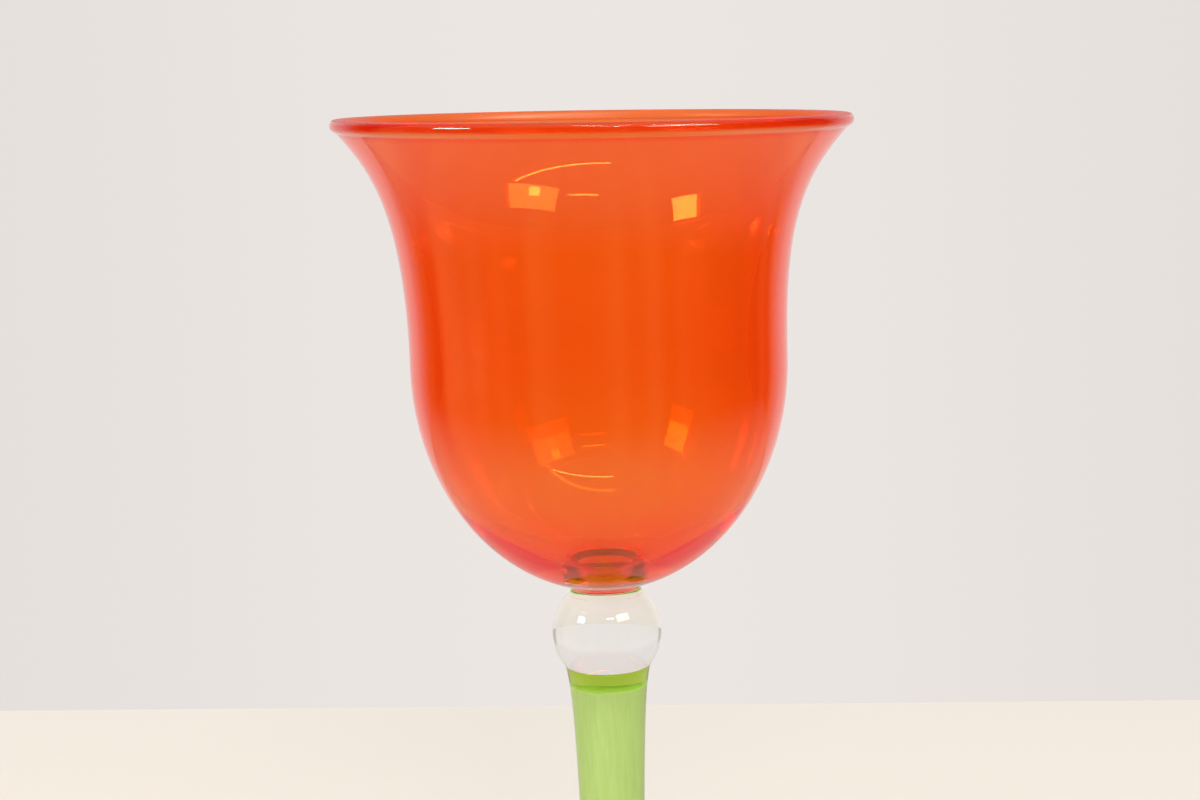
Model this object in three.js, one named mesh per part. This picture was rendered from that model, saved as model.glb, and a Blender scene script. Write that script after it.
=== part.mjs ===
// A stemmed drinking glass: a bell-shaped bowl on a clear button and ball, a cased stem and a foot.
// Every gather of glass is a solid of revolution about Z, and each one is fused face to face
// with the next. Millimetres, +Z up, origin at the centre of the face that the foot rests on.
import * as THREE from 'three';

// Driving dimensions of the foot
const FOOT_DIAMETER = 78;
const FOOT_HEIGHT = 9;
const FOOT_EDGE_THICKNESS = 3;
const FOOT_RING_WIDTH = 9;
const FOOT_KICK_DEPTH = 1.5;
const FOOT_SWEEP_WIDTH = 9;

// Driving dimensions of the stem
const STEM_LENGTH = 102;
const STEM_BASE_DIAMETER = 17;
const STEM_SHOULDER_DIAMETER = 14;
const STEM_WAIST_DIAMETER = 11.2;
const STEM_FLARE_LENGTH = 3.6;
const STEM_CASING_THICKNESS = 1.2;
const STEM_SOLID_TOP = 3.6;
const CORE_CLEARANCE = 0.3;

// Driving dimensions of the knop and of the button above it
const KNOP_DIAMETER = 19.7;
const KNOP_LOWER_LATITUDE = 38;
const KNOP_UPPER_LATITUDE = 46.5;
const MERESE_HEIGHT = 2;
const MERESE_TOP_DIAMETER = 15;
const MERESE_WAIST_DIAMETER = 13.1;

// Driving dimensions of the bowl
const BOWL_BODY_DIAMETER = 66.6;
const BOWL_BELLY_HEIGHT = 39.7;
const BOWL_BODY_HEIGHT = 2.5;
const BOWL_FLARE_HEIGHT = 39.4;
const BOWL_FLARE_REACH = 11.8;
const BOWL_FLARE_EASE = 25;
const BOWL_RIM_EASE = 10;
const BOWL_RIM_LEAN = 42;
const BOWL_WALL = 2;
const BOWL_BASE_THICKNESS = 4;

// How finely round shapes are divided
const TURN_SEGMENTS = 48;
const CURVE_STEPS = 8;
const LIP_STEPS = 5;
const STEM_STEPS = 12;

// Heights of the faces where one piece is fused to the next
const knopRadius = KNOP_DIAMETER / 2;
const knopLowerAngle = THREE.MathUtils.degToRad(KNOP_LOWER_LATITUDE);
const knopUpperAngle = THREE.MathUtils.degToRad(KNOP_UPPER_LATITUDE);
const stemBottom = FOOT_HEIGHT;
const stemTop = stemBottom + STEM_LENGTH;
const knopCentre = stemTop + knopRadius * Math.sin(knopLowerAngle);
const knopTop = knopCentre + knopRadius * Math.sin(knopUpperAngle);
const bowlBottom = knopTop + MERESE_HEIGHT;

// Radii of those faces
const stemBaseRadius = STEM_BASE_DIAMETER / 2;
const stemTopRadius = knopRadius * Math.cos(knopLowerAngle);
const knopTopRadius = knopRadius * Math.cos(knopUpperAngle);
const mereseTopRadius = MERESE_TOP_DIAMETER / 2;

// A point of an outline: distance from the axis, then height.
function point(radius, height) {
  return new THREE.Vector2(radius, height);
}

// Turns an outline, which starts and ends on the axis, into a named solid about Z.
function turned(name, outline, material) {
  const geometry = new THREE.LatheGeometry(outline, TURN_SEGMENTS);
  geometry.rotateX(Math.PI / 2);
  const mesh = new THREE.Mesh(geometry, material);
  mesh.name = name;
  return mesh;
}

// Part of an ellipse between two angles, counted from outward and turning towards up.
function arc(radius, height, reach, rise, from, to, steps) {
  const curve = new THREE.EllipseCurve(radius, height, reach, rise, from, to, from > to);
  return curve.getPoints(steps);
}

// A glass with the given colour and share of light that it lets through.
function glass(color, opacity) {
  return new THREE.MeshStandardMaterial({
    color,
    opacity,
    transparent: opacity < 1,
    roughness: 0.05,
    metalness: 0,
  });
}

const orangeGlass = glass(0xf0551a, 0.8);
const clearGlass = glass(0xeae5dc, 0.3);
const greenGlass = glass(0xa4b646, 0.6);
const opalCore = glass(0xb9d074, 1);

// The foot: a flat resting ring round a shallow kick, a rounded edge, and a top that sweeps
// up to the stem.
function foot() {
  const edgeRadius = FOOT_EDGE_THICKNESS / 2;
  const edgeCentre = FOOT_DIAMETER / 2 - edgeRadius;
  const kickRadius = FOOT_DIAMETER / 2 - FOOT_RING_WIDTH;
  const kickStart = Math.PI / 2;
  const sweep = new THREE.QuadraticBezierCurve(
    point(edgeCentre, FOOT_EDGE_THICKNESS),
    point(stemBaseRadius + FOOT_SWEEP_WIDTH, FOOT_EDGE_THICKNESS),
    point(stemBaseRadius, FOOT_HEIGHT),
  );
  const outline = [
    ...arc(0, 0, kickRadius, FOOT_KICK_DEPTH, kickStart, 0, CURVE_STEPS),
    ...arc(edgeCentre, edgeRadius, edgeRadius, edgeRadius, -Math.PI / 2, Math.PI / 2, LIP_STEPS),
    ...sweep.getPoints(CURVE_STEPS).slice(1),
    point(0, FOOT_HEIGHT),
  ];
  return turned('foot', outline, clearGlass);
}

// Outer radius of the stem at a height: slim at mid-length, with a short flare at each end.
function stemRadius(height) {
  const shoulder = STEM_SHOULDER_DIAMETER / 2;
  const waist = STEM_WAIST_DIAMETER / 2;
  const fromWaist = (height - stemBottom) / STEM_LENGTH * 2 - 1;
  const lowerFlare = (stemBaseRadius - shoulder) * Math.exp((stemBottom - height) / STEM_FLARE_LENGTH);
  const upperFlare = (stemTopRadius - shoulder) * Math.exp((height - stemTop) / STEM_FLARE_LENGTH);
  return waist + (shoulder - waist) * fromWaist ** 2 + lowerFlare + upperFlare;
}

// The stem's outline from its foot up to a height, drawn in by an inset. The points lie closer
// together towards both ends, where the stem flares.
function stemSide(top, inset) {
  const side = [];
  for (let step = 0; step <= STEM_STEPS; step += 1) {
    const share = (1 - Math.cos(Math.PI * step / STEM_STEPS)) / 2;
    const height = stemBottom + (top - stemBottom) * share;
    side.push(point(stemRadius(height) - inset, height));
  }
  return side;
}

// The casing: solid under the knop, then drawn over the core, and open at the foot.
function stemCasing() {
  const boreTop = stemTop - STEM_SOLID_TOP;
  const outline = [
    point(0, boreTop),
    ...stemSide(boreTop, STEM_CASING_THICKNESS).reverse(),
    ...stemSide(stemTop, 0),
    point(0, stemTop),
  ];
  return turned('stem_casing', outline, greenGlass);
}

// The core: fills the casing from the foot up, with a small clearance at its side and end.
function stemCore() {
  const coreTop = stemTop - STEM_SOLID_TOP - CORE_CLEARANCE;
  const outline = [
    point(0, stemBottom),
    ...stemSide(coreTop, STEM_CASING_THICKNESS + CORE_CLEARANCE),
    point(0, coreTop),
  ];
  return turned('stem_core', outline, opalCore);
}

// The knop: a ball cut flat at the stem below and at the button above.
function knop() {
  const outline = [
    point(0, stemTop),
    ...arc(0, knopCentre, knopRadius, knopRadius, -knopLowerAngle, knopUpperAngle, CURVE_STEPS),
    point(0, knopTop),
  ];
  return turned('knop', outline, clearGlass);
}

// The button between knop and bowl, drawn in at its waist.
function bowlMerese() {
  const waist = new THREE.QuadraticBezierCurve(
    point(knopTopRadius, knopTop),
    point(MERESE_WAIST_DIAMETER - (knopTopRadius + mereseTopRadius) / 2, (knopTop + bowlBottom) / 2),
    point(mereseTopRadius, bowlBottom),
  );
  const outline = [point(0, knopTop), ...waist.getPoints(LIP_STEPS), point(0, bowlBottom)];
  return turned('bowl_merese', outline, clearGlass);
}

// The bowl: an elliptical belly, a straight body and a flare that leans out to a round lip.
// The inside follows at the wall's thickness and ends above a thicker base.
function bowl() {
  const outside = BOWL_BODY_DIAMETER / 2;
  const bellyTop = bowlBottom + BOWL_BELLY_HEIGHT;
  const bodyTop = bellyTop + BOWL_BODY_HEIGHT;
  const baseAngle = Math.acos(mereseTopRadius / outside);
  const outerRise = BOWL_BELLY_HEIGHT / Math.sin(baseAngle);
  const innerRise = BOWL_BELLY_HEIGHT - BOWL_BASE_THICKNESS;
  const rim = point(outside + BOWL_FLARE_REACH, bodyTop + BOWL_FLARE_HEIGHT);
  const lean = THREE.MathUtils.degToRad(BOWL_RIM_LEAN);
  const rimEase = point(Math.sin(lean), Math.cos(lean)).multiplyScalar(BOWL_RIM_EASE);
  const flare = new THREE.CubicBezierCurve(
    point(outside, bodyTop),
    point(outside, bodyTop + BOWL_FLARE_EASE),
    rim.clone().sub(rimEase),
    rim,
  );
  const outerFlare = flare.getPoints(CURVE_STEPS);
  const innerFlare = outerFlare.map((place, step) => inwards(flare, place, step / CURVE_STEPS)).reverse();
  const lipRadius = BOWL_WALL / 2;
  const lipCentre = rim.clone().add(innerFlare[0]).multiplyScalar(0.5);
  const lip = arc(lipCentre.x, lipCentre.y, lipRadius, lipRadius, -lean, Math.PI - lean, LIP_STEPS);
  const outline = [
    point(0, bowlBottom),
    ...arc(0, bellyTop, outside, outerRise, -baseAngle, 0, CURVE_STEPS),
    ...outerFlare,
    ...lip.slice(1, -1),
    ...innerFlare,
    ...arc(0, bellyTop, outside - BOWL_WALL, innerRise, 0, -Math.PI / 2, CURVE_STEPS),
  ];
  return turned('bowl', outline, orangeGlass);
}

// The point on the bowl's inside that faces a place on its outer curve.
function inwards(curve, place, share) {
  const along = curve.getTangent(share);
  return point(place.x - along.y * BOWL_WALL, place.y + along.x * BOWL_WALL);
}

const stemmedGlass = new THREE.Group();
stemmedGlass.add(foot(), stemCasing(), stemCore(), knop(), bowlMerese(), bowl());

export default stemmedGlass;
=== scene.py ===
"""A stemmed glass in blown and fused glass, with its finishes and a small pale studio.

Every gather of glass is drawn as an outline, spun about the glass's axis and given a finish of
its own. Lengths are in metres, +Z is up, and the foot stands on the floor at the origin.
"""

import math
from typing import NamedTuple

import bpy
from bpy.props import FloatProperty, FloatVectorProperty, IntProperty, PointerProperty
from mathutils import Matrix, Vector
from mathutils.geometry import interpolate_bezier


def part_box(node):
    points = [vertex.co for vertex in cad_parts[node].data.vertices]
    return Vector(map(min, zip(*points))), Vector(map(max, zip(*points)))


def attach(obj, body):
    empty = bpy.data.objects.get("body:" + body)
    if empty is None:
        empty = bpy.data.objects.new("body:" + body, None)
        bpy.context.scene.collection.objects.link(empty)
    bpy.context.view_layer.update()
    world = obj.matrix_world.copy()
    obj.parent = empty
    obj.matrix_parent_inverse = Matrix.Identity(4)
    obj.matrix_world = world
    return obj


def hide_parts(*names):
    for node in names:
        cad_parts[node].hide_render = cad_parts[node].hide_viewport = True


bl_info = {
    "name": "Stemmed Glass",
    "version": (1, 0, 0),
    "blender": (4, 5, 0),
    "location": "3D View > Sidebar > Stemmed Glass",
    "description": "Builds a bell-shaped stemmed glass from its gathers of glass, and its studio",
    "category": "Add Mesh",
}

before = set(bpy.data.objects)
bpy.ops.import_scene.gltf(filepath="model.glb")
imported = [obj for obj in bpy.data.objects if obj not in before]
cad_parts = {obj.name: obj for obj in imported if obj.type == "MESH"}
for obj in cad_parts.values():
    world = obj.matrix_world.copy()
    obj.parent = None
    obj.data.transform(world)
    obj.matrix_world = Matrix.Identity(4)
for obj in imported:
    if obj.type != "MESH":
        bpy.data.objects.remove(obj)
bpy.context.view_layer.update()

MM = 0.001
IMAGE_WIDTH = 1200
SENSOR_WIDTH = 36
LIGHT_BOUNCES = 1024

# Heights of the faces where one gather is fused to the next, and the radii there
FOOT_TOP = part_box("foot")[1].z
STEM_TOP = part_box("stem_casing")[1].z
CORE_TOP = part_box("stem_core")[1].z
KNOP_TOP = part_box("knop")[1].z
BOWL_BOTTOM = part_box("bowl")[0].z
STEM_BASE_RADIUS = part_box("stem_casing")[1].x
MERESE_TOP_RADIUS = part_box("bowl_merese")[1].x

# Marks on a gather's mesh that its finish reads
FUSED = "fused"
RIM = "rim"

# What counts as one point, as a crease, as level, and as lying at a joint's height
DOUBLES = 1e-6
CREASE = math.radians(35)
LEVEL = 0.999
JOINT_REACH = 0.5 * MM

# How finely each curve is divided
KICK_STEPS = 24
EDGE_STEPS = 20
SWEEP_STEPS = 40
CORE_STEPS = 60
CASING_STEPS = 80
KNOP_STEPS = 96
WAIST_STEPS = 24
BELLY_STEPS = 64
FLARE_STEPS = 64
BEAD_STEPS = 48
NECK_STEPS = 10
INSIDE_STEPS = 128

# Where the belly's wall is thinnest, thickens again and turns into the base, as angles below its top
THIN_AT = math.radians(40)
LOW_FROM = math.radians(33)
LOW_AT = math.radians(63)
BASE_FROM = math.radians(68.4)
BASE_AT = math.radians(90)

# The rim's bead: how far its centre lies below the flare's end, how far it turns in at its two
# necks, the length over which each neck eases, and the steps of the flare that the necks take up
BEAD_SINK = 0.4 * MM
BEAD_TUCK = math.radians(12)
NECK_EASE = 0.9 * MM
NECK_SPAN = 4

# Where the rim's mark turns from the inner to the outer side and where it fades, in bead radii
RIM_TURN = (-0.3, 0.7)
RIM_FADE = (1.4, 2.4)

# How strongly glass bends light at its surface, and where it is fused to other glass
GLASS_BENDING = 1.5
FUSED_BENDING = 1.0

# The opal core: its streaks per metre across and along the stem, and the tinted skin of its end,
# painted light that brightens its shaded top face
STREAKS = (1700, 1700, 150)
STREAK_DETAIL = 5.0
CORE_ROUGHNESS = 0.6
PAINTED_LIGHT_END_SKIN = (0.05 * MM, 0.02 * MM)

# The room's upright patches in reflections: how many, how fine, and where dark turns to light
PATCH_SCALE = 2.3
PATCH_DETAIL = 1.0
PATCH_FADE = (0.42, 0.68)

# The floor: its reach, its drop below the foot, its sheen, and how it darkens in reflections
FLOOR_REACH = 2.0
FLOOR_DROP = 0.05 * MM
FLOOR_ROUGHNESS = 0.9
FLOOR_SHEEN = 0.1
FLOOR_BEHIND = 0.5
FLOOR_PALE_PART = 0.2
FLOOR_SHADE = (0.3, 1.0)

# Where one tone of the studio turns into another, as parts of a direction one long
WALL_FADE = (0.0, 0.32)
THROUGH_FADE = (-0.04, 0.1)
AHEAD_FADE = (0.36, 0.54)
BACK_FADE = (-0.1, -0.25)
LEVEL_TILT = 0.08
LEVEL_FADE = (0.12, 0.25)
MIRRORED_WALL_FADE = (0.5, 0.8)
MIRRORED_SKY_FADE = (0.3, 0.8)
MIRRORED_SKY_SHARE = 0.6


class Lamp(NamedTuple):
    """A rectangular lamp: where it hangs round the bowl in degrees and metres, its size and power."""

    name: str
    bearing: float
    elevation: float
    distance: float
    width: float
    height: float
    power: float
    roll: float = 0.0


SOFTBOXES = (
    Lamp("right_softbox", bearing=42, elevation=34, distance=1.0, width=0.5, height=0.25, power=3.6),
    Lamp("left_softbox", bearing=-63, elevation=25, distance=1.0, width=0.28, height=0.2, power=5.0),
    Lamp("right_bulb", bearing=41, elevation=37, distance=0.98, width=0.1, height=0.1, power=1.5),
)
STRIPS = (
    Lamp("long_strip", bearing=28, elevation=55, distance=1.2, width=1.0, height=0.025, power=4.5,
         roll=-26),
    Lamp("short_strip", bearing=7, elevation=36, distance=1.2, width=0.35, height=0.02, power=1.6),
)
FILL = Lamp("left_fill", bearing=-80, elevation=10, distance=1.2, width=0.6, height=0.6, power=3.8)


class GlassSizes(bpy.types.PropertyGroup):
    """Sizes of the gathers of glass that a maker would change."""

    turn_steps: IntProperty(
        name="Turn steps", description="Faces round each gather", default=192, min=24)
    joint_gap: FloatProperty(
        name="Joint gap", description="Gap that keeps two fused faces apart",
        default=0.02 * MM, unit="LENGTH", precision=5)
    foot_diameter: FloatProperty(
        name="Foot diameter", description="Width of the foot", default=78 * MM, unit="LENGTH")
    foot_edge: FloatProperty(
        name="Foot edge", description="Thickness of the foot's rounded edge",
        default=3 * MM, unit="LENGTH")
    foot_ring: FloatProperty(
        name="Foot ring", description="Width of the flat ring that the foot rests on",
        default=9 * MM, unit="LENGTH")
    foot_kick: FloatProperty(
        name="Foot kick", description="Depth of the hollow under the foot",
        default=1.5 * MM, unit="LENGTH")
    foot_sweep: FloatProperty(
        name="Foot sweep", description="Width over which the foot sweeps up to the stem",
        default=9 * MM, unit="LENGTH")
    stem_shoulder: FloatProperty(
        name="Stem shoulder", description="Width of the stem just inside its two flares",
        default=14 * MM, unit="LENGTH")
    stem_waist: FloatProperty(
        name="Stem waist", description="Width of the stem at mid-length",
        default=11.2 * MM, unit="LENGTH")
    stem_flare: FloatProperty(
        name="Stem flare", description="Length over which each end of the stem flares",
        default=3.6 * MM, unit="LENGTH")
    stem_casing: FloatProperty(
        name="Stem casing", description="Thickness of the green glass over the core",
        default=1.2 * MM, unit="LENGTH")
    knop_diameter: FloatProperty(
        name="Knop diameter", description="Width of the clear ball",
        default=19.7 * MM, unit="LENGTH")
    knop_latitude: FloatProperty(
        name="Knop latitude", description="Where the merese cuts the ball, above its middle",
        default=math.radians(46.5), unit="ROTATION")
    merese_waist: FloatProperty(
        name="Merese waist", description="Width of the button between knop and bowl at its waist",
        default=13.1 * MM, unit="LENGTH")
    bowl_body: FloatProperty(
        name="Bowl body", description="Width of the bowl's straight part",
        default=66.6 * MM, unit="LENGTH")
    bowl_belly: FloatProperty(
        name="Bowl belly", description="Height of the bowl's rounded lower part",
        default=39.7 * MM, unit="LENGTH")
    bowl_straight: FloatProperty(
        name="Bowl straight", description="Height of the bowl's straight part",
        default=2.5 * MM, unit="LENGTH")
    bowl_flare: FloatProperty(
        name="Bowl flare", description="Height of the bowl's flare",
        default=39.4 * MM, unit="LENGTH")
    bowl_reach: FloatProperty(
        name="Bowl reach", description="How far the rim stands out from the body",
        default=11.8 * MM, unit="LENGTH")
    flare_ease: FloatProperty(
        name="Flare ease", description="Length over which the flare leaves the body",
        default=25 * MM, unit="LENGTH")
    rim_ease: FloatProperty(
        name="Rim ease", description="Length over which the flare straightens at the rim",
        default=10 * MM, unit="LENGTH")
    rim_lean: FloatProperty(
        name="Rim lean", description="How far the rim leans out from upright",
        default=math.radians(42), unit="ROTATION")
    bowl_wall: FloatProperty(
        name="Bowl wall", description="Thickness of the wall at the bowl's straight part",
        default=2.0 * MM, unit="LENGTH")
    belly_wall: FloatProperty(
        name="Belly wall", description="Thickness of the wall halfway down the belly",
        default=1.35 * MM, unit="LENGTH")
    low_wall: FloatProperty(
        name="Low wall", description="Thickness of the wall low in the belly",
        default=2.15 * MM, unit="LENGTH")
    rim_wall: FloatProperty(
        name="Rim wall", description="Thickness of the wall below the rim's bead",
        default=1.7 * MM, unit="LENGTH")
    rim_bead: FloatProperty(
        name="Rim bead", description="Thickness of the rim's rounded bead",
        default=2.2 * MM, unit="LENGTH")
    bowl_base: FloatProperty(
        name="Bowl base", description="Thickness of the bowl over its joint",
        default=2.6 * MM, unit="LENGTH")
    rim_tilt: FloatProperty(
        name="Rim tilt", description="How far the hand-worked rim dips to one side",
        default=math.radians(0.9), unit="ROTATION")
    rim_height: FloatProperty(
        name="Rim height", description="Height of the rim that dips as one",
        default=2 * MM, unit="LENGTH")
    tilt_reach: FloatProperty(
        name="Tilt reach", description="Length of the flare that follows the rim's dip",
        default=40 * MM, unit="LENGTH")


class GlassColours(bpy.types.PropertyGroup):
    """Colours of the glasses: what light is left after passing, and how fast it is taken up."""

    orange_skin: FloatVectorProperty(
        name="Orange skin", description="Tint at the surface of the bowl's glass", subtype="COLOR",
        default=(0.995, 0.8, 0.42), min=0, max=1)
    rim_skin: FloatVectorProperty(
        name="Rim skin", description="Tint at the surface of the bowl's rim", subtype="COLOR",
        default=(0.995, 0.3, 0.05), min=0, max=1)
    orange: FloatVectorProperty(
        name="Orange", description="Tint of the bowl's glass by its thickness", subtype="COLOR",
        default=(0.9995, 0.534, 0.0), min=0, max=1)
    orange_depth: FloatProperty(
        name="Orange depth", description="Strength of the bowl's tint", default=1000)
    rim_softness: FloatProperty(
        name="Rim softness", description="Roughness of the rim's inner side",
        default=0.35, min=0, max=1)
    clear_skin: FloatVectorProperty(
        name="Clear skin", description="Tint at the surface of the clear and green glass",
        subtype="COLOR", default=(1.0, 1.0, 1.0), min=0, max=1)
    clear: FloatVectorProperty(
        name="Clear", description="Tint of the clear glass", subtype="COLOR",
        default=(0.8, 0.81, 0.79), min=0, max=1)
    clear_depth: FloatProperty(
        name="Clear depth", description="Strength of the clear glass's tint", default=22)
    green: FloatVectorProperty(
        name="Green", description="Tint of the stem's casing", subtype="COLOR",
        default=(0.72, 0.83, 0.0), min=0, max=1)
    green_depth: FloatProperty(
        name="Green depth", description="Strength of the casing's tint", default=240)
    core_light: FloatVectorProperty(
        name="Core light", description="Pale streaks of the opal core", subtype="COLOR",
        default=(0.535, 0.675, 0.41), min=0, max=1)
    core_dark: FloatVectorProperty(
        name="Core dark", description="Deeper streaks of the opal core", subtype="COLOR",
        default=(0.412, 0.575, 0.245), min=0, max=1)
    # Painted light: a brighter, greener colour for the core's top face, which the glass above shades
    painted_light_core_end: FloatVectorProperty(
        name="Core end", description="Upper end of the opal core", subtype="COLOR",
        default=(0.48, 0.82, 0.25), min=0, max=1)


class StudioSettings(bpy.types.PropertyGroup):
    """The studio: its floor, wall, lamps and camera."""

    wall: FloatVectorProperty(
        name="Wall", description="Pale wall behind the glass", subtype="COLOR",
        default=(0.835, 0.795, 0.765), min=0, max=1)
    wall_side: FloatVectorProperty(
        name="Wall sides", description="The wall towards both sides", subtype="COLOR",
        default=(0.785, 0.745, 0.715), min=0, max=1)
    wall_through: FloatVectorProperty(
        name="Wall through glass", description="The wall as it is seen through glass", subtype="COLOR",
        default=(0.915, 0.87, 0.83), min=0, max=1)
    dark_side: FloatVectorProperty(
        name="Dark sides", description="The room's sides as they are seen through glass",
        subtype="COLOR", default=(0.28, 0.26, 0.24), min=0, max=1)
    room: FloatVectorProperty(
        name="Room", description="The dark room on the camera's side, in reflections", subtype="COLOR",
        default=(0.05, 0.03, 0.02), min=0, max=1)
    room_light: FloatVectorProperty(
        name="Room light", description="Lighter upright patches of that room", subtype="COLOR",
        default=(0.65, 0.42, 0.14), min=0, max=1)
    light: FloatVectorProperty(
        name="Light", description="Soft light from all round", subtype="COLOR",
        default=(0.83, 0.83, 0.83), min=0, max=1)
    softbox_colour: FloatVectorProperty(
        name="Softbox colour", description="Light of the soft lamps and the bulb", subtype="COLOR",
        default=(1.0, 0.9, 0.75), min=0, max=1)
    strip_colour: FloatVectorProperty(
        name="Strip colour", description="Light of the strips and of the fill lamp", subtype="COLOR",
        default=(1.0, 0.95, 0.85), min=0, max=1)
    lamp_aim: FloatProperty(
        name="Lamp aim", description="Height on the glass's axis that the lamps hang round",
        default=170 * MM, unit="LENGTH")
    floor: FloatVectorProperty(
        name="Floor", description="Pale floor under the glass", subtype="COLOR",
        default=(0.85, 0.795, 0.73), min=0, max=1)
    floor_end: FloatProperty(
        name="Floor end", description="Distance from the glass to the floor's far end",
        default=331 * MM, unit="LENGTH")
    floor_front: FloatProperty(
        name="Floor front", description="How far the floor's pale part is mirrored in the glass",
        default=620 * MM, unit="LENGTH")
    floor_turn: FloatProperty(
        name="Floor turn", description="How far the floor's end is turned from square",
        default=math.radians(-4.1), unit="ROTATION")
    camera_distance: FloatProperty(
        name="Camera distance", description="From the glass's axis to the camera",
        default=368.6 * MM, unit="LENGTH")
    camera_height: FloatProperty(
        name="Camera height", description="From the floor to the camera",
        default=217.5 * MM, unit="LENGTH")
    camera_pitch: FloatProperty(
        name="Camera pitch", description="How far the camera looks down",
        default=math.radians(9.0), unit="ROTATION")
    camera_roll: FloatProperty(
        name="Camera roll", description="How far the camera is turned about its view",
        default=math.radians(1.75), unit="ROTATION")
    lens_pixels: FloatProperty(
        name="Lens", description="Focal length in pixels of the image", default=2105)


def arc(across, height, reach, rise, start, end, steps):
    """Part of an ellipse between two angles, as points of distance from the axis and height."""
    points = []
    for step in range(steps + 1):
        angle = start + (end - start) * step / steps
        points.append((across + reach * math.cos(angle), height + rise * math.sin(angle)))
    return points


def bend(start, start_ease, end_ease, end, steps):
    """A smooth curve between two points, drawn towards two easing points."""
    knots = [Vector((x, z, 0)) for x, z in (start, start_ease, end_ease, end)]
    return [(p.x, p.y) for p in interpolate_bezier(*knots, steps + 1)]


def ease(value, start, end):
    """A share that goes gently from 0 to 1 while a value goes from start to end."""
    share = min(max((value - start) / (end - start), 0), 1)
    return share * share * (3 - 2 * share)


def spin_outline(name, outline, steps):
    """Draws an outline point by point, from the axis back to the axis, and spins it about Z."""
    bpy.ops.object.select_all(action="DESELECT")
    bpy.ops.mesh.primitive_plane_add(size=MM, location=(0, 0, 0))
    piece = bpy.context.object
    piece.name = name
    piece.data.name = name
    bpy.ops.object.mode_set(mode="EDIT")
    bpy.ops.mesh.select_all(action="SELECT")
    bpy.ops.mesh.merge(type="CENTER")
    bpy.ops.transform.translate(value=(outline[0][0], 0, outline[0][1]))
    for here, there in zip(outline, outline[1:]):
        move = (there[0] - here[0], 0, there[1] - here[1])
        if Vector(move).length < DOUBLES:
            continue
        bpy.ops.mesh.extrude_region_move(TRANSFORM_OT_translate={"value": move})
    bpy.ops.mesh.select_all(action="SELECT")
    bpy.ops.mesh.spin(steps=steps, angle=math.tau, center=(0, 0, 0), axis=(0, 0, 1))
    bpy.ops.mesh.select_all(action="SELECT")
    bpy.ops.mesh.remove_doubles(threshold=DOUBLES)
    bpy.ops.mesh.normals_make_consistent(inside=False)
    bpy.ops.object.mode_set(mode="OBJECT")
    bpy.ops.object.shade_smooth_by_angle(angle=CREASE)
    return piece


def lies_flat(face):
    """Whether a face is level, as the joint faces are."""
    return abs(face.normal.z) > LEVEL


def mark_fused(piece, is_fused):
    """Marks the faces where a gather is fused to its neighbour, so that light passes straight."""
    marks = piece.data.attributes.new(FUSED, "FLOAT", "FACE")
    for face in piece.data.polygons:
        marks.data[face.index].value = 1.0 if is_fused(face) else 0.0


def mark_rim(piece, centre, out, radius):
    """Marks the rim's bead with 1 on its outer side and -1 on its inner side, fading over the neck."""
    marks = piece.data.attributes.new(RIM, "FLOAT", "POINT")
    for point in piece.data.vertices:
        away = (Vector((point.co.xy.length, point.co.z)) - centre) / radius
        outer = ease(away.dot(out), *RIM_TURN)
        faded = ease(away.length, *RIM_FADE)
        marks.data[point.index].value = (2 * outer - 1) * (1 - faded)


def select_points(piece, is_wanted):
    """Goes into edit mode with only the wanted points selected."""
    bpy.ops.object.mode_set(mode="EDIT")
    bpy.ops.mesh.select_mode(type="VERT")
    bpy.ops.mesh.select_all(action="DESELECT")
    bpy.ops.object.mode_set(mode="OBJECT")
    for point in piece.data.vertices:
        point.select = is_wanted(point.co)
    bpy.ops.object.mode_set(mode="EDIT")


def tilt_rim(piece, height, sizes):
    """Tilts what lies above a height about the depth axis; the flare below follows less and less."""
    select_points(piece, lambda place: place.z > height)
    bpy.ops.transform.rotate(
        value=-sizes.rim_tilt, orient_axis="Y", center_override=(0, 0, height),
        use_proportional_edit=True, proportional_edit_falloff="SMOOTH",
        proportional_size=sizes.tilt_reach)
    bpy.ops.object.mode_set(mode="OBJECT")


def finish_piece(piece, node, material):
    """Gives a gather its finish and its place in the part."""
    piece.data.materials.clear()
    piece.data.materials.append(material)
    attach(piece, "root")
    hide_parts(node)


def new_finish(name):
    """A new material, with its nodes, its links and its shader."""
    material = bpy.data.materials.new(name)
    material.use_nodes = True
    nodes = material.node_tree.nodes
    return material, nodes, material.node_tree.links, nodes["Principled BSDF"]


def ramp(nodes, links, value, start, end, low=0.0, high=1.0):
    """A value eased from low to high while another goes from start to end."""
    node = nodes.new("ShaderNodeMapRange")
    node.interpolation_type = "SMOOTHSTEP"
    node.inputs["From Min"].default_value = start
    node.inputs["From Max"].default_value = end
    node.inputs["To Min"].default_value = low
    node.inputs["To Max"].default_value = high
    links.new(value, node.inputs["Value"])
    return node.outputs["Result"]


def combine(nodes, links, operation, first, second=0.0):
    """Two values put together by a sum, a product or the like."""
    node = nodes.new("ShaderNodeMath")
    node.operation = operation
    for socket, value in zip(node.inputs, (first, second)):
        if isinstance(value, bpy.types.NodeSocket):
            links.new(value, socket)
        else:
            socket.default_value = value
    return node.outputs["Value"]


def blend_colours(nodes, links, share, first, second):
    """Two colours mixed by a share; each is a value or another node's output."""
    node = nodes.new("ShaderNodeMix")
    node.data_type = "RGBA"
    links.new(share, node.inputs["Factor"])
    for key, colour in (("A", first), ("B", second)):
        if isinstance(colour, bpy.types.NodeSocket):
            links.new(colour, node.inputs[key])
        else:
            node.inputs[key].default_value = (*colour, 1)
    return node.outputs["Result"]


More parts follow.
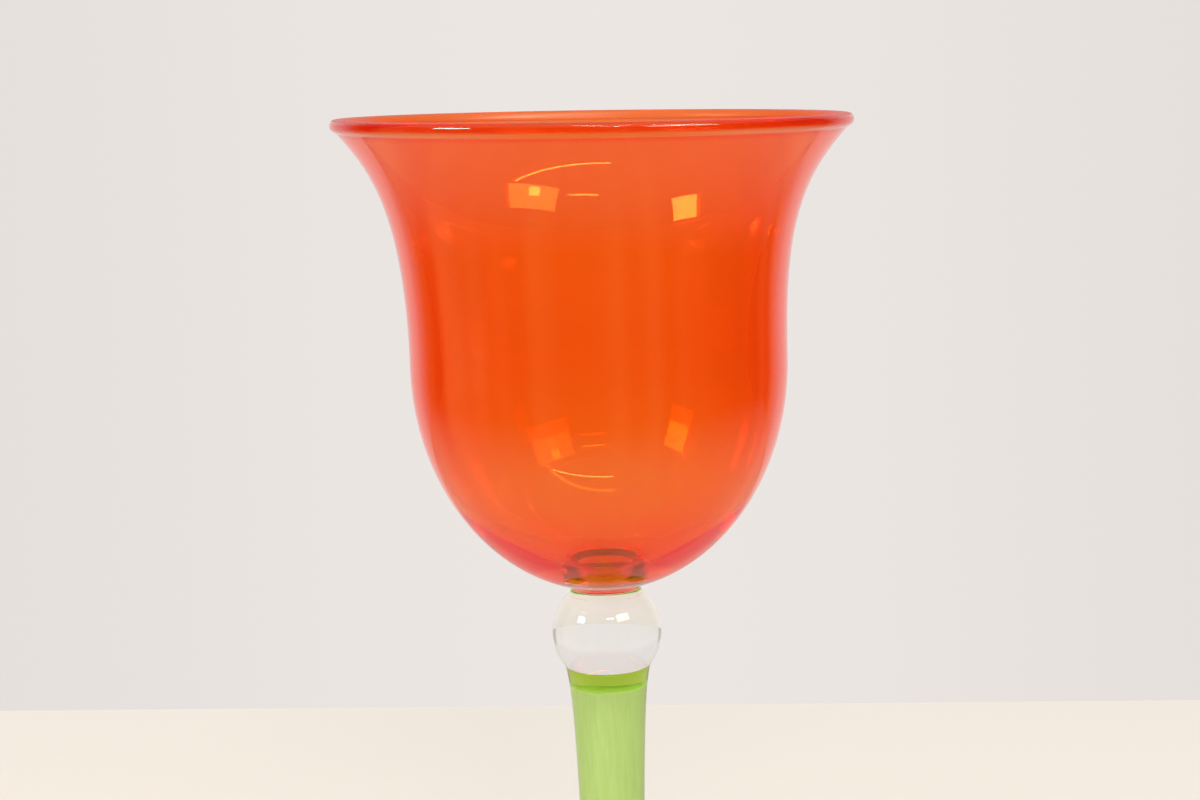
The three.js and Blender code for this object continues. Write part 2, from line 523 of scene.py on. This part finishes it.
def glass_material(name, skin, tint, depth):
    """Smooth glass coloured by its thickness; light passes fused faces unbent."""
    material = bpy.data.materials.get(name)
    if material:
        return material
    material, nodes, links, shader = new_finish(name)
    shader.inputs["Base Color"].default_value = (*skin, 1)
    shader.inputs["Roughness"].default_value = 0.0
    shader.inputs["Transmission Weight"].default_value = 1.0
    fused = nodes.new("ShaderNodeAttribute")
    fused.attribute_name = FUSED
    bending = nodes.new("ShaderNodeMapRange")
    bending.inputs["To Min"].default_value = GLASS_BENDING
    bending.inputs["To Max"].default_value = FUSED_BENDING
    links.new(fused.outputs["Fac"], bending.inputs["Value"])
    links.new(bending.outputs["Result"], shader.inputs["IOR"])
    absorption = nodes.new("ShaderNodeVolumeAbsorption")
    absorption.inputs["Color"].default_value = (*tint, 1)
    absorption.inputs["Density"].default_value = depth
    links.new(absorption.outputs["Volume"], nodes["Material Output"].inputs["Volume"])
    return material


def clear_glass(colours):
    """The colourless glass of the foot, the knop and the merese."""
    return glass_material("blown_clear", colours.clear_skin, colours.clear, colours.clear_depth)


def green_glass(colours):
    """The green glass of the stem's casing."""
    return glass_material("blown_green", colours.clear_skin, colours.green, colours.green_depth)


def orange_glass(colours):
    """The bowl's orange glass: redder on the rim's outer side, and softer on its inner side."""
    material = glass_material("blown_orange", colours.orange_skin, colours.orange, colours.orange_depth)
    nodes = material.node_tree.nodes
    links = material.node_tree.links
    shader = nodes["Principled BSDF"]
    rim = nodes.new("ShaderNodeAttribute")
    rim.attribute_name = RIM
    outer = ramp(nodes, links, rim.outputs["Fac"], 0.0, 1.0)
    skin = blend_colours(nodes, links, outer, colours.orange_skin, colours.rim_skin)
    links.new(skin, shader.inputs["Base Color"])
    soft = ramp(nodes, links, rim.outputs["Fac"], 0.0, -1.0, 0.0, colours.rim_softness)
    links.new(soft, shader.inputs["Roughness"])
    return material


def opal_glass(colours):
    """The core's opal glass, with fine streaks drawn out along the stem and a brighter end, painted
    light on its top face, which the glass above keeps in shade.
    """
    material, nodes, links, shader = new_finish("drawn_opal")
    shader.inputs["Roughness"].default_value = CORE_ROUGHNESS
    shader.inputs["Specular IOR Level"].default_value = 0.0
    place = nodes.new("ShaderNodeTexCoord")
    drawn = nodes.new("ShaderNodeMapping")
    drawn.inputs["Scale"].default_value = STREAKS
    links.new(place.outputs["Object"], drawn.inputs["Vector"])
    streaks = nodes.new("ShaderNodeTexNoise")
    streaks.inputs["Scale"].default_value = 1.0
    streaks.inputs["Detail"].default_value = STREAK_DETAIL
    links.new(drawn.outputs["Vector"], streaks.inputs["Vector"])
    tone = blend_colours(nodes, links, streaks.outputs["Fac"], colours.core_dark, colours.core_light)
    split = nodes.new("ShaderNodeSeparateXYZ")
    links.new(place.outputs["Object"], split.inputs["Vector"])
    # Painted light: the top face fades to a brighter colour in place of the light that the glass above
    # keeps from it
    end = ramp(nodes, links, split.outputs["Z"], *(CORE_TOP - skin for skin in PAINTED_LIGHT_END_SKIN))
    colour = blend_colours(nodes, links, end, tone, colours.painted_light_core_end)
    links.new(colour, shader.inputs["Base Color"])
    return material


class STEMGLASS_OT_foot(bpy.types.Operator):
    """Add the round foot: a flat resting ring, a shallow kick, a rounded edge and a swept top"""

    bl_idname = "stemglass.foot"
    bl_label = "Foot"

    def execute(self, context):
        sizes = context.scene.glass_sizes
        edge = sizes.foot_edge / 2
        edge_centre = sizes.foot_diameter / 2 - edge
        kick = sizes.foot_diameter / 2 - sizes.foot_ring
        top = FOOT_TOP - sizes.joint_gap / 2
        outline = arc(0, 0, kick, sizes.foot_kick, math.pi / 2, 0, KICK_STEPS)
        outline += arc(edge_centre, edge, edge, edge, -math.pi / 2, math.pi / 2, EDGE_STEPS)
        sweep_ease = (STEM_BASE_RADIUS + sizes.foot_sweep, sizes.foot_edge)
        outline += bend((edge_centre, sizes.foot_edge), sweep_ease, sweep_ease,
                        (STEM_BASE_RADIUS, top), SWEEP_STEPS)[1:]
        outline.append((0, top))
        piece = spin_outline("clear_foot", outline, sizes.turn_steps)
        mark_fused(piece, lambda face: lies_flat(face) and face.center.z > FOOT_TOP - JOINT_REACH)
        finish_piece(piece, "foot", clear_glass(context.scene.glass_colours))
        return {"FINISHED"}


def knop_cut(sizes):
    """Centre height, lower joint radius and upper joint radius of the knop.

    The knop's top lies at a known height, so the latitude of its upper joint gives its centre.
    """
    radius = sizes.knop_diameter / 2
    centre = KNOP_TOP - radius * math.sin(sizes.knop_latitude)
    lower = math.sqrt(radius ** 2 - (centre - STEM_TOP) ** 2)
    return centre, lower, radius * math.cos(sizes.knop_latitude)


def stem_radius(sizes, height):
    """Outer radius of the stem: slim at mid-length, with a short flare at each end."""
    shoulder = sizes.stem_shoulder / 2
    waist = sizes.stem_waist / 2
    top_radius = knop_cut(sizes)[1]
    from_waist = 2 * (height - FOOT_TOP) / (STEM_TOP - FOOT_TOP) - 1
    lower = (STEM_BASE_RADIUS - shoulder) * math.exp((FOOT_TOP - height) / sizes.stem_flare)
    upper = (top_radius - shoulder) * math.exp((height - STEM_TOP) / sizes.stem_flare)
    return waist + (shoulder - waist) * from_waist ** 2 + lower + upper


def stem_side(sizes, bottom, top, inset, steps):
    """The stem's outline from one height to another, drawn in by an inset."""
    side = []
    for step in range(steps + 1):
        share = (1 - math.cos(math.pi * step / steps)) / 2
        height = bottom + (top - bottom) * share
        side.append((stem_radius(sizes, height) - inset, height))
    return side


class STEMGLASS_OT_stem_core(bpy.types.Operator):
    """Add the pale opal core that shows through the stem's casing"""

    bl_idname = "stemglass.stem_core"
    bl_label = "Stem core"

    def execute(self, context):
        sizes = context.scene.glass_sizes
        bottom = FOOT_TOP + sizes.joint_gap / 2
        inset = sizes.stem_casing + sizes.joint_gap
        outline = [(0, bottom)]
        outline += stem_side(sizes, bottom, CORE_TOP, inset, CORE_STEPS)
        outline.append((0, CORE_TOP))
        piece = spin_outline("opal_core", outline, sizes.turn_steps)
        finish_piece(piece, "stem_core", opal_glass(context.scene.glass_colours))
        return {"FINISHED"}


class STEMGLASS_OT_stem_casing(bpy.types.Operator):
    """Add the green casing: solid under the knop, then drawn over the core"""

    bl_idname = "stemglass.stem_casing"
    bl_label = "Stem casing"

    def execute(self, context):
        sizes = context.scene.glass_sizes
        bottom = FOOT_TOP + sizes.joint_gap / 2
        top = STEM_TOP - sizes.joint_gap / 2
        bore_top = CORE_TOP + sizes.joint_gap
        outline = [(0, bore_top)]
        outline += reversed(stem_side(sizes, bottom, bore_top, sizes.stem_casing, CORE_STEPS))
        outline += stem_side(sizes, bottom, top, 0, CASING_STEPS)
        outline.append((0, top))
        piece = spin_outline("green_casing", outline, sizes.turn_steps)

        def is_fused(face):
            mid_wall = stem_radius(sizes, face.center.z) - sizes.stem_casing / 2
            return face.center.xy.length < mid_wall or lies_flat(face)

        mark_fused(piece, is_fused)
        piece.visible_shadow = False
        finish_piece(piece, "stem_casing", green_glass(context.scene.glass_colours))
        return {"FINISHED"}


class STEMGLASS_OT_knop(bpy.types.Operator):
    """Add the clear ball between the stem and the merese"""

    bl_idname = "stemglass.knop"
    bl_label = "Knop"

    def execute(self, context):
        sizes = context.scene.glass_sizes
        centre = knop_cut(sizes)[0]
        radius = sizes.knop_diameter / 2
        bottom = STEM_TOP + sizes.joint_gap / 2
        top = KNOP_TOP - sizes.joint_gap / 2
        start = math.asin((bottom - centre) / radius)
        end = math.asin((top - centre) / radius)
        outline = [(0, bottom)]
        outline += arc(0, centre, radius, radius, start, end, KNOP_STEPS)
        outline.append((0, top))
        piece = spin_outline("clear_knop", outline, sizes.turn_steps)
        piece.visible_shadow = False
        mark_fused(piece, lies_flat)
        finish_piece(piece, "knop", clear_glass(context.scene.glass_colours))
        return {"FINISHED"}


class STEMGLASS_OT_merese(bpy.types.Operator):
    """Add the short clear button that joins the knop to the bowl"""

    bl_idname = "stemglass.merese"
    bl_label = "Merese"

    def execute(self, context):
        sizes = context.scene.glass_sizes
        lower = knop_cut(sizes)[2]
        bottom = KNOP_TOP + sizes.joint_gap / 2
        top = BOWL_BOTTOM - sizes.joint_gap / 2
        waist = (sizes.merese_waist - (lower + MERESE_TOP_RADIUS) / 2, (bottom + top) / 2)
        outline = [(0, bottom)]
        outline += bend((lower, bottom), waist, waist, (MERESE_TOP_RADIUS, top), WAIST_STEPS)
        outline.append((0, top))
        piece = spin_outline("clear_merese", outline, sizes.turn_steps)
        piece.visible_shadow = False
        mark_fused(piece, lies_flat)
        finish_piece(piece, "bowl_merese", clear_glass(context.scene.glass_colours))
        return {"FINISHED"}


def belly_inside(sizes):
    """The belly's inner side from its top to the axis: thinner halfway down, then thicker again."""
    outside = sizes.bowl_body / 2
    belly_top = BOWL_BOTTOM + sizes.bowl_belly
    rise = sizes.bowl_belly / math.sin(math.acos(MERESE_TOP_RADIUS / outside))
    base_wall = rise - sizes.bowl_belly + sizes.bowl_base
    side = []
    for step in range(INSIDE_STEPS + 1):
        angle = BASE_AT * step / INSIDE_STEPS
        wall = sizes.bowl_wall
        wall += (sizes.belly_wall - sizes.bowl_wall) * ease(angle, 0, THIN_AT)
        wall += (sizes.low_wall - sizes.belly_wall) * ease(angle, LOW_FROM, LOW_AT)
        wall += (base_wall - wall) * ease(angle, BASE_FROM, BASE_AT)
        across = Vector((math.cos(angle) / outside, -math.sin(angle) / rise)).normalized()
        here = Vector((outside * math.cos(angle), belly_top - rise * math.sin(angle)))
        side.append(tuple(here - across * wall))
    side[-1] = (0, side[-1][1])
    return side


def upward(lean):
    """The direction that leans out from upright by an angle."""
    return Vector((math.sin(lean), math.cos(lean)))


def rim_place(sizes):
    """Where the flare ends."""
    height = BOWL_BOTTOM + sizes.bowl_belly + sizes.bowl_straight + sizes.bowl_flare
    return Vector((sizes.bowl_body / 2 + sizes.bowl_reach, height))


def rim_outward(sizes):
    """The direction square to the wall at the rim, away from the bowl's inside."""
    return Vector((math.cos(sizes.rim_lean), -math.sin(sizes.rim_lean)))


def bead_centre(sizes):
    """The middle of the rim's round bead."""
    inward = rim_outward(sizes) * -sizes.rim_wall / 2
    return rim_place(sizes) + inward - upward(sizes.rim_lean) * BEAD_SINK


def inner_side(flare, sizes):
    """The flare's inner side: its wall thins evenly towards the rim."""
    side = []
    last = len(flare) - 1
    for index, here in enumerate(flare):
        before = Vector(flare[max(index - 1, 0)])
        after = Vector(flare[min(index + 1, last)])
        along = (after - before).normalized()
        wall = sizes.bowl_wall + (sizes.rim_wall - sizes.bowl_wall) * index / last
        side.append((here[0] - along.y * wall, here[1] + along.x * wall))
    return side


def bowl_outline(sizes):
    """The bowl's outline: up its outer side, over the rim's bead and down its inner side."""
    outside = sizes.bowl_body / 2
    belly_top = BOWL_BOTTOM + sizes.bowl_belly
    body_top = belly_top + sizes.bowl_straight
    base_angle = math.acos(MERESE_TOP_RADIUS / outside)
    rise = (sizes.bowl_belly - sizes.joint_gap / 2) / math.sin(base_angle)
    belly = arc(0, belly_top, outside, rise, -base_angle, 0, BELLY_STEPS)

    # The flare, with the last of it left for the bead's necks
    lean = sizes.rim_lean
    up = upward(lean)
    rim = rim_place(sizes)
    flare = bend((outside, body_top), (outside, body_top + sizes.flare_ease),
                 rim - sizes.rim_ease * up, rim, FLARE_STEPS)[:-NECK_SPAN]
    inner_flare = inner_side(flare, sizes)

    # The bead, a round edge a little thicker than the wall, and its two necks
    radius = sizes.rim_bead / 2
    bead = arc(*bead_centre(sizes), radius, radius, -lean - BEAD_TUCK, math.pi - lean + BEAD_TUCK,
               BEAD_STEPS)
    outer_neck = bend(flare[-1], Vector(flare[-1]) + up * NECK_EASE,
                      Vector(bead[0]) - upward(lean + BEAD_TUCK) * NECK_EASE, bead[0], NECK_STEPS)
    inner_neck = bend(bead[-1], Vector(bead[-1]) - upward(lean - BEAD_TUCK) * NECK_EASE,
                      Vector(inner_flare[-1]) + up * NECK_EASE, inner_flare[-1], NECK_STEPS)

    outer = belly + flare + outer_neck[1:-1]
    inner = inner_neck[1:-1] + list(reversed(inner_flare)) + belly_inside(sizes)
    return outer + bead + inner


class STEMGLASS_OT_bowl(bpy.types.Operator):
    """Add the blown bowl: a round belly, a flare and a rounded lip, hollow at its wall"""

    bl_idname = "stemglass.bowl"
    bl_label = "Bowl"

    def execute(self, context):
        sizes = context.scene.glass_sizes
        outline = [(0, BOWL_BOTTOM + sizes.joint_gap / 2)]
        outline += bowl_outline(sizes)
        piece = spin_outline("orange_bowl", outline, sizes.turn_steps)
        mark_fused(piece, lambda face: lies_flat(face) and face.center.z < BOWL_BOTTOM + JOINT_REACH)
        mark_rim(piece, bead_centre(sizes), rim_outward(sizes), sizes.rim_bead / 2)
        tilt_rim(piece, rim_place(sizes).y - sizes.rim_height, sizes)
        finish_piece(piece, "bowl", orange_glass(context.scene.glass_colours))
        return {"FINISHED"}


def mirror_mask(nodes, links):
    """A value that is 1 for light that has just been mirrored by the glass, and 0 for the rest."""
    path = nodes.new("ShaderNodeLightPath")
    mask = combine(nodes, links, "SUBTRACT", path.outputs["Is Glossy Ray"],
                   path.outputs["Is Transmission Ray"])
    mask.node.use_clamp = True
    return mask


def room_tone(nodes, links, vector, studio):
    """The room on the camera's side: dark, with soft upright patches of light all round."""
    level = nodes.new("ShaderNodeVectorMath")
    level.operation = "MULTIPLY"
    level.inputs[1].default_value = (1, 1, 0)
    links.new(vector, level.inputs[0])
    bearing = nodes.new("ShaderNodeVectorMath")
    bearing.operation = "NORMALIZE"
    links.new(level.outputs["Vector"], bearing.inputs[0])
    patches = nodes.new("ShaderNodeTexNoise")
    patches.inputs["Scale"].default_value = PATCH_SCALE
    patches.inputs["Detail"].default_value = PATCH_DETAIL
    links.new(bearing.outputs["Vector"], patches.inputs["Vector"])
    share = ramp(nodes, links, patches.outputs["Fac"], *PATCH_FADE)
    return blend_colours(nodes, links, share, studio.room, studio.room_light)


def floor_material(studio):
    """A pale matt floor, which turns into the dark room where the glass mirrors it from afar."""
    material, nodes, links, shader = new_finish("floor")
    shader.inputs["Roughness"].default_value = FLOOR_ROUGHNESS
    shader.inputs["Specular IOR Level"].default_value = FLOOR_SHEEN
    place = nodes.new("ShaderNodeTexCoord").outputs["Object"]
    length = nodes.new("ShaderNodeVectorMath")
    length.operation = "LENGTH"
    links.new(place, length.inputs[0])
    split = nodes.new("ShaderNodeSeparateXYZ")
    links.new(place, split.inputs["Vector"])
    behind = combine(nodes, links, "MULTIPLY", split.outputs["Y"], FLOOR_BEHIND)
    away = combine(nodes, links, "SUBTRACT", length.outputs["Value"], behind)
    pale_part = studio.floor_front * FLOOR_PALE_PART
    shade = ramp(nodes, links, away, pale_part, studio.floor_front, *FLOOR_SHADE)
    share = combine(nodes, links, "MULTIPLY", shade, mirror_mask(nodes, links))
    room = room_tone(nodes, links, place, studio)
    links.new(blend_colours(nodes, links, share, studio.floor, room), shader.inputs["Base Color"])
    return material


def add_floor(studio):
    """A pale level floor that ends a little behind the glass, against the pale wall."""
    depth = FLOOR_REACH + studio.floor_end
    centre = (0, studio.floor_end - depth / 2, -FLOOR_DROP)
    bpy.ops.object.select_all(action="DESELECT")
    bpy.ops.mesh.primitive_plane_add(size=1, location=centre)
    floor = bpy.context.object
    floor.name = "floor"
    floor.dimensions = (2 * FLOOR_REACH, depth, 0)
    bpy.ops.object.transform_apply(location=True, rotation=True, scale=True)
    floor.rotation_euler.z = studio.floor_turn
    bpy.ops.object.transform_apply(location=True, rotation=True, scale=True)
    floor.data.materials.append(floor_material(studio))


def add_lamp(lamp, aim, colour):
    """Hangs a lamp round a point, facing it; its bearing is counted from the camera's side."""
    bearing = math.radians(lamp.bearing)
    elevation = math.radians(lamp.elevation)
    flat = lamp.distance * math.cos(elevation)
    rise = lamp.distance * math.sin(elevation)
    offset = Vector((flat * math.sin(bearing), -flat * math.cos(bearing), rise))
    bpy.ops.object.select_all(action="DESELECT")
    bpy.ops.object.light_add(type="AREA", location=aim + offset)
    light = bpy.context.object
    light.name = lamp.name
    roll = Matrix.Rotation(math.radians(lamp.roll), 3, "Z")
    light.rotation_euler = (offset.to_track_quat("Z", "Y").to_matrix() @ roll).to_euler()
    light.data.shape = "RECTANGLE"
    light.data.size = lamp.width
    light.data.size_y = lamp.height
    light.data.energy = lamp.power
    light.data.color = colour
    return light


def add_lamps(studio):
    """Soft lamps and strips for the highlights, and a fill lamp for the stem's left side."""
    aim = Vector((0, 0, studio.lamp_aim))
    for lamp in SOFTBOXES:
        add_lamp(lamp, aim, studio.softbox_colour).visible_diffuse = False
    for lamp in STRIPS:
        add_lamp(lamp, aim, studio.strip_colour)
    fill = add_lamp(FILL, aim, studio.strip_colour)
    fill.visible_glossy = False
    fill.visible_transmission = False


def set_world(studio):
    """The pale wall all round, soft light on the glass, and a darker room in its reflections."""
    world = bpy.data.worlds.new("studio")
    bpy.context.scene.world = world
    world.use_nodes = True
    nodes = world.node_tree.nodes
    links = world.node_tree.links
    path = nodes.new("ShaderNodeLightPath")
    bearing = nodes.new("ShaderNodeTexCoord").outputs["Generated"]
    split = nodes.new("ShaderNodeSeparateXYZ")
    links.new(bearing, split.inputs["Vector"])
    aside = combine(nodes, links, "ABSOLUTE", split.outputs["X"])
    depth = split.outputs["Y"]
    height = split.outputs["Z"]

    # The wall as the camera sees it, and through glass, where the room's sides are dark
    fade = ramp(nodes, links, aside, *WALL_FADE)
    wall = blend_colours(nodes, links, fade, studio.wall, studio.wall_side)
    high = ramp(nodes, links, height, *THROUGH_FADE)
    through = blend_colours(nodes, links, high, studio.wall_through, studio.wall)
    ahead = ramp(nodes, links, depth, *AHEAD_FADE)
    back = ramp(nodes, links, depth, *BACK_FADE)
    tilted = combine(nodes, links, "ADD", height, LEVEL_TILT)
    off_level = ramp(nodes, links, combine(nodes, links, "ABSOLUTE", tilted), *LEVEL_FADE)
    ahead_or_back = combine(nodes, links, "MAXIMUM", ahead, back)
    open_side = combine(nodes, links, "MAXIMUM", ahead_or_back, off_level)
    passed = blend_colours(nodes, links, open_side, studio.dark_side, through)
    seen = blend_colours(nodes, links, path.outputs["Is Camera Ray"], passed, wall)

    # The room that the glass mirrors, and the soft light on what isn't glass
    behind = ramp(nodes, links, depth, *MIRRORED_WALL_FADE)
    above = ramp(nodes, links, height, *MIRRORED_SKY_FADE, 0.0, MIRRORED_SKY_SHARE)
    bright = combine(nodes, links, "MAXIMUM", behind, above)
    dark = room_tone(nodes, links, bearing, studio)
    room = blend_colours(nodes, links, bright, dark, studio.wall)
    mirrored = blend_colours(nodes, links, mirror_mask(nodes, links), seen, room)
    lit = blend_colours(nodes, links, path.outputs["Is Diffuse Ray"], mirrored, studio.light)
    links.new(lit, nodes["Background"].inputs["Color"])


def add_camera(studio):
    """The camera, at the photograph's height, distance, pitch and roll."""
    bpy.ops.object.select_all(action="DESELECT")
    bpy.ops.object.camera_add(location=(0, -studio.camera_distance, studio.camera_height))
    camera = bpy.context.object
    camera.name = "camera"
    level = Matrix.Rotation(math.pi / 2 - studio.camera_pitch, 4, "X")
    turned = level @ Matrix.Rotation(-studio.camera_roll, 4, "Z")
    camera.rotation_euler = turned.to_euler()
    camera.data.sensor_width = SENSOR_WIDTH
    camera.data.lens = studio.lens_pixels / IMAGE_WIDTH * SENSOR_WIDTH
    camera.data.clip_start = 10 * MM
    bpy.context.scene.camera = camera


class STEMGLASS_OT_stage(bpy.types.Operator):
    """Set up the pale floor, the wall, the soft lamps and the camera"""

    bl_idname = "stemglass.stage"
    bl_label = "Stage"

    def execute(self, context):
        studio = context.scene.glass_studio
        context.scene.view_settings.view_transform = "Standard"
        context.scene.cycles.max_bounces = LIGHT_BOUNCES
        context.scene.cycles.diffuse_bounces = LIGHT_BOUNCES
        context.scene.cycles.glossy_bounces = LIGHT_BOUNCES
        context.scene.cycles.transmission_bounces = LIGHT_BOUNCES
        add_floor(studio)
        set_world(studio)
        add_lamps(studio)
        add_camera(studio)
        return {"FINISHED"}


class STEMGLASS_PT_panel(bpy.types.Panel):
    """Lists the gathers of glass and the stage"""

    bl_idname = "STEMGLASS_PT_panel"
    bl_label = "Stemmed Glass"
    bl_space_type = "VIEW_3D"
    bl_region_type = "UI"
    bl_category = "Stemmed Glass"

    def draw(self, context):
        for operator in OPERATORS:
            self.layout.operator(operator.bl_idname)
        scene = context.scene
        for group in (scene.glass_sizes, scene.glass_colours, scene.glass_studio):
            for name in group.bl_rna.properties.keys():
                if name not in ("rna_type", "name"):
                    self.layout.prop(group, name)


OPERATORS = (
    STEMGLASS_OT_foot,
    STEMGLASS_OT_stem_core,
    STEMGLASS_OT_stem_casing,
    STEMGLASS_OT_knop,
    STEMGLASS_OT_merese,
    STEMGLASS_OT_bowl,
    STEMGLASS_OT_stage,
)
CLASSES = (GlassSizes, GlassColours, StudioSettings) + OPERATORS + (STEMGLASS_PT_panel,)


def register():
    """Makes the properties, operators and panel known to Blender."""
    for item in CLASSES:
        bpy.utils.register_class(item)
    bpy.types.Scene.glass_sizes = PointerProperty(type=GlassSizes)
    bpy.types.Scene.glass_colours = PointerProperty(type=GlassColours)
    bpy.types.Scene.glass_studio = PointerProperty(type=StudioSettings)


def unregister():
    """Takes them away again."""
    del bpy.types.Scene.glass_studio
    del bpy.types.Scene.glass_colours
    del bpy.types.Scene.glass_sizes
    for item in reversed(CLASSES):
        bpy.utils.unregister_class(item)


def main():
    """Builds the glass and its stage."""
    register()
    bpy.ops.stemglass.foot()
    bpy.ops.stemglass.stem_core()
    bpy.ops.stemglass.stem_casing()
    bpy.ops.stemglass.knop()
    bpy.ops.stemglass.merese()
    bpy.ops.stemglass.bowl()
    bpy.ops.stemglass.stage()


if __name__ == "__main__":
    main()
